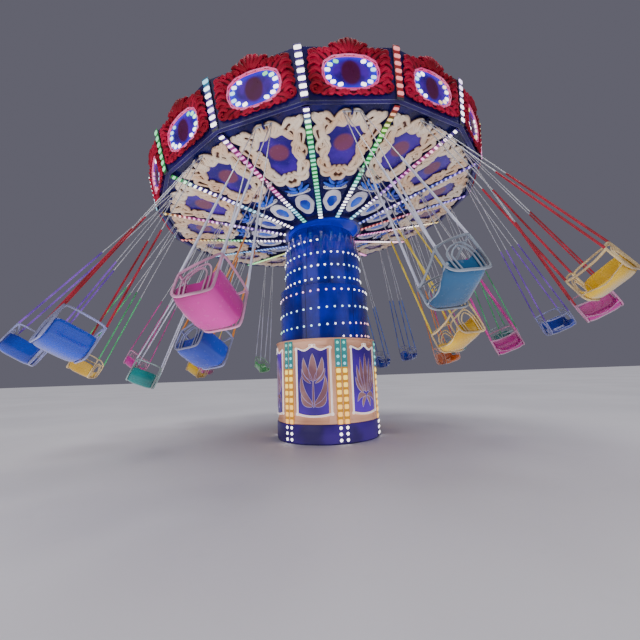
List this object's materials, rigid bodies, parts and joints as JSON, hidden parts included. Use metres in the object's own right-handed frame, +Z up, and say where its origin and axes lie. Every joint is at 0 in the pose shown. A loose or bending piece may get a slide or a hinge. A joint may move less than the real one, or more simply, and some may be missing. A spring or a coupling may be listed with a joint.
{
  "type": "chair swing ride",
  "caption": "Chair swing ride with a drum base, a telescoping tower and a tilting, turning canopy from which two rings of chairs swing outwards.",
  "frame": {"origin": "middle of the plinth's underside, on the ground", "axes": "+Z up, -Y the side that faces the viewer, +X to the viewer's right, towards the canopy's raised side"},
  "size_m": [10.7157, 10.6354, 6.573],
  "materials": {
    "navy_paint": "gloss enamel",
    "gold_paint": "satin gold paint",
    "blue_gloss": "glossy gel coat",
    "panel_purple": "painted relief panel",
    "ceiling_navy": "painted panel",
    "roof_navy": "painted panel",
    "rim_red": "painted moulding",
    "lamp_housing": "satin channel",
    "steel": "painted steel",
    "seat_blue": "moulded seat on a painted tube frame",
    "seat_yellow": "moulded seat on a painted tube frame",
    "seat_teal": "moulded seat on a painted tube frame",
    "seat_pink": "moulded seat on a painted tube frame",
    "seat_orange": "moulded seat on a painted tube frame",
    "seat_green": "moulded seat on a painted tube frame"
  },
  "bodies": {
    "base": {"plinth": "navy_paint", "drum": "gold_paint", "drum_panel_1": "panel_purple", "drum_panel_2": "panel_purple", "drum_panel_3": "panel_purple", "drum_panel_4": "panel_purple", "drum_panel_5": "panel_purple", "drum_panel_6": "panel_purple", "drum_top_ring": "gold_paint", "lower_sleeve": "blue_gloss", "mast": "steel"},
    "lift": {"upper_sleeve": "blue_gloss", "lift_tube": "steel"},
    "tilt": {"tilt_head": "steel"},
    "canopy": {"canopy_hub": "blue_gloss", "canopy_ceiling": "ceiling_navy", "lamp_ribs": "lamp_housing", "rim_quarter_1": "rim_red", "rim_quarter_2": "rim_red", "rim_quarter_3": "rim_red", "rim_quarter_4": "rim_red", "canopy_roof": "roof_navy"},
    "outer_chair_01": {"outer_chair_01": "seat_teal"},
    "outer_chair_02": {"outer_chair_02": "seat_yellow"},
    "outer_chair_03": {"outer_chair_03": "seat_pink"},
    "outer_chair_04": {"outer_chair_04": "seat_blue"},
    "outer_chair_05": {"outer_chair_05": "seat_teal"},
    "outer_chair_06": {"outer_chair_06": "seat_teal"},
    "outer_chair_07": {"outer_chair_07": "seat_blue"},
    "outer_chair_08": {"outer_chair_08": "seat_orange"},
    "outer_chair_09": {"outer_chair_09": "seat_blue"},
    "outer_chair_10": {"outer_chair_10": "seat_green"},
    "outer_chair_11": {"outer_chair_11": "seat_pink"},
    "outer_chair_12": {"outer_chair_12": "seat_pink"},
    "outer_chair_13": {"outer_chair_13": "seat_yellow"},
    "outer_chair_14": {"outer_chair_14": "seat_blue"},
    "outer_chair_15": {"outer_chair_15": "seat_blue"},
    "outer_chair_16": {"outer_chair_16": "seat_pink"},
    "inner_chair_1": {"inner_chair_1": "seat_yellow"},
    "inner_chair_2": {"inner_chair_2": "seat_pink"},
    "inner_chair_3": {"inner_chair_3": "seat_orange"},
    "inner_chair_4": {"inner_chair_4": "seat_blue"},
    "inner_chair_5": {"inner_chair_5": "seat_blue"},
    "inner_chair_6": {"inner_chair_6": "seat_yellow"},
    "inner_chair_7": {"inner_chair_7": "seat_teal"},
    "inner_chair_8": {"inner_chair_8": "seat_blue"}
  },
  "joints": [
    {"name": "tower_lift", "type": "slide", "parent": "base", "child": "lift", "axis": [0, 0, 1], "range_m": [-0.6, 0]},
    {"name": "canopy_tilt", "type": "hinge", "parent": "lift", "child": "tilt", "pos_m": [0, 0, 5.28], "axis": [0, -1, 0], "range_deg": [-5.65, 0]},
    {"name": "canopy_spin", "type": "hinge", "parent": "tilt", "child": "canopy", "pos_m": [0, 0, 5.28], "axis": [-0.0985, 0, 0.9951], "continuous": true},
    {"name": "outer_chair_01_swing", "type": "hinge", "parent": "canopy", "child": "outer_chair_01", "pos_m": [0.53646, -3.45893, 5.28789], "axis": [-0.9835, -0.1527, -0.0974], "range_deg": [-36.73, 17.27]},
    {"name": "outer_chair_02_swing", "type": "hinge", "parent": "canopy", "child": "outer_chair_02", "pos_m": [1.81319, -2.99104, 5.41428], "axis": [-0.8504, -0.5193, -0.0842], "range_deg": [-36.05, 17.95]},
    {"name": "outer_chair_03_swing", "type": "hinge", "parent": "canopy", "child": "outer_chair_03", "pos_m": [2.81456, -2.0678, 5.51342], "axis": [-0.5879, -0.8068, -0.0582], "range_deg": [-29.46, 24.54]},
    {"name": "outer_chair_04_swing", "type": "hinge", "parent": "canopy", "child": "outer_chair_04", "pos_m": [3.38812, -0.82975, 5.5702], "axis": [-0.2359, -0.9715, -0.0234], "range_deg": [-25.22, 28.78]},
    {"name": "outer_chair_05_swing", "type": "hinge", "parent": "canopy", "child": "outer_chair_05", "pos_m": [3.44653, 0.53462, 5.57598], "axis": [0.152, -0.9883, 0.015], "range_deg": [-21.67, 32.33]},
    {"name": "outer_chair_06_swing", "type": "hinge", "parent": "canopy", "child": "outer_chair_06", "pos_m": [2.98092, 1.8176, 5.52989], "axis": [0.5168, -0.8546, 0.0512], "range_deg": [-18.5, 35.5]},
    {"name": "outer_chair_07_swing", "type": "hinge", "parent": "canopy", "child": "outer_chair_07", "pos_m": [2.06217, 2.82387, 5.43893], "axis": [0.8029, -0.5908, 0.0795], "range_deg": [-17.69, 36.31]},
    {"name": "outer_chair_08_swing", "type": "hinge", "parent": "canopy", "child": "outer_chair_08", "pos_m": [0.83015, 3.40022, 5.31696], "axis": [0.9668, -0.2371, 0.0957], "range_deg": [-24.07, 29.93]},
    {"name": "outer_chair_09_swing", "type": "hinge", "parent": "canopy", "child": "outer_chair_09", "pos_m": [-0.52759, 3.45893, 5.18255], "axis": [0.9835, 0.1527, 0.0974], "range_deg": [-29.23, 24.77]},
    {"name": "outer_chair_10_swing", "type": "hinge", "parent": "canopy", "child": "outer_chair_10", "pos_m": [-1.80432, 2.99104, 5.05615], "axis": [0.8504, 0.5193, 0.0842], "range_deg": [-34.83, 19.17]},
    {"name": "outer_chair_11_swing", "type": "hinge", "parent": "canopy", "child": "outer_chair_11", "pos_m": [-2.8057, 2.0678, 4.95701], "axis": [0.5879, 0.8068, 0.0582], "range_deg": [-39.51, 14.49]},
    {"name": "outer_chair_12_swing", "type": "hinge", "parent": "canopy", "child": "outer_chair_12", "pos_m": [-3.37925, 0.82975, 4.90023], "axis": [0.2359, 0.9715, 0.0234], "range_deg": [-46.41, 7.59]},
    {"name": "outer_chair_13_swing", "type": "hinge", "parent": "canopy", "child": "outer_chair_13", "pos_m": [-3.43767, -0.53462, 4.89445], "axis": [-0.152, 0.9883, -0.015], "range_deg": [-41.97, 12.03]},
    {"name": "outer_chair_14_swing", "type": "hinge", "parent": "canopy", "child": "outer_chair_14", "pos_m": [-2.97206, -1.8176, 4.94054], "axis": [-0.5168, 0.8546, -0.0512], "range_deg": [-46.02, 7.98]},
    {"name": "outer_chair_15_swing", "type": "hinge", "parent": "canopy", "child": "outer_chair_15", "pos_m": [-2.0533, -2.82387, 5.0315], "axis": [-0.8029, 0.5908, -0.0795], "range_deg": [-39.54, 14.46]},
    {"name": "outer_chair_16_swing", "type": "hinge", "parent": "canopy", "child": "outer_chair_16", "pos_m": [-0.82128, -3.40022, 5.15347], "axis": [-0.9668, 0.2371, -0.0957], "range_deg": [-39.3, 14.7]},
    {"name": "inner_chair_1_swing", "type": "hinge", "parent": "canopy", "child": "inner_chair_1", "pos_m": [0.86338, -2.30172, 5.07935], "axis": [-0.9349, -0.3426, -0.0926], "range_deg": [-32.19, 21.81]},
    {"name": "inner_chair_2_swing", "type": "hinge", "parent": "canopy", "child": "inner_chair_2", "pos_m": [2.23835, -1.03401, 5.21548], "axis": [-0.42, -0.9066, -0.0416], "range_deg": [-24.32, 29.68]},
    {"name": "inner_chair_3_swing", "type": "hinge", "parent": "canopy", "child": "inner_chair_3", "pos_m": [2.31857, 0.83941, 5.22342], "axis": [0.3409, -0.9395, 0.0338], "range_deg": [-17.5, 36.5]},
    {"name": "inner_chair_4_swing", "type": "hinge", "parent": "canopy", "child": "inner_chair_4", "pos_m": [1.05703, 2.22111, 5.09853], "axis": [0.9022, -0.422, 0.0893], "range_deg": [-27.09, 26.91]},
    {"name": "inner_chair_5_swing", "type": "hinge", "parent": "canopy", "child": "inner_chair_5", "pos_m": [-0.80727, 2.30172, 4.91396], "axis": [0.9349, 0.3426, 0.0926], "range_deg": [-29.07, 24.93]},
    {"name": "inner_chair_6_swing", "type": "hinge", "parent": "canopy", "child": "inner_chair_6", "pos_m": [-2.18225, 1.03401, 4.77784], "axis": [0.42, 0.9066, 0.0416], "range_deg": [-43.21, 10.79]},
    {"name": "inner_chair_7_swing", "type": "hinge", "parent": "canopy", "child": "inner_chair_7", "pos_m": [-2.26247, -0.83941, 4.76989], "axis": [-0.3409, 0.9395, -0.0338], "range_deg": [-36.25, 17.75]},
    {"name": "inner_chair_8_swing", "type": "hinge", "parent": "canopy", "child": "inner_chair_8", "pos_m": [-1.00093, -2.22111, 4.89479], "axis": [-0.9022, 0.422, -0.0893], "range_deg": [-39.38, 14.62]}
  ]
}
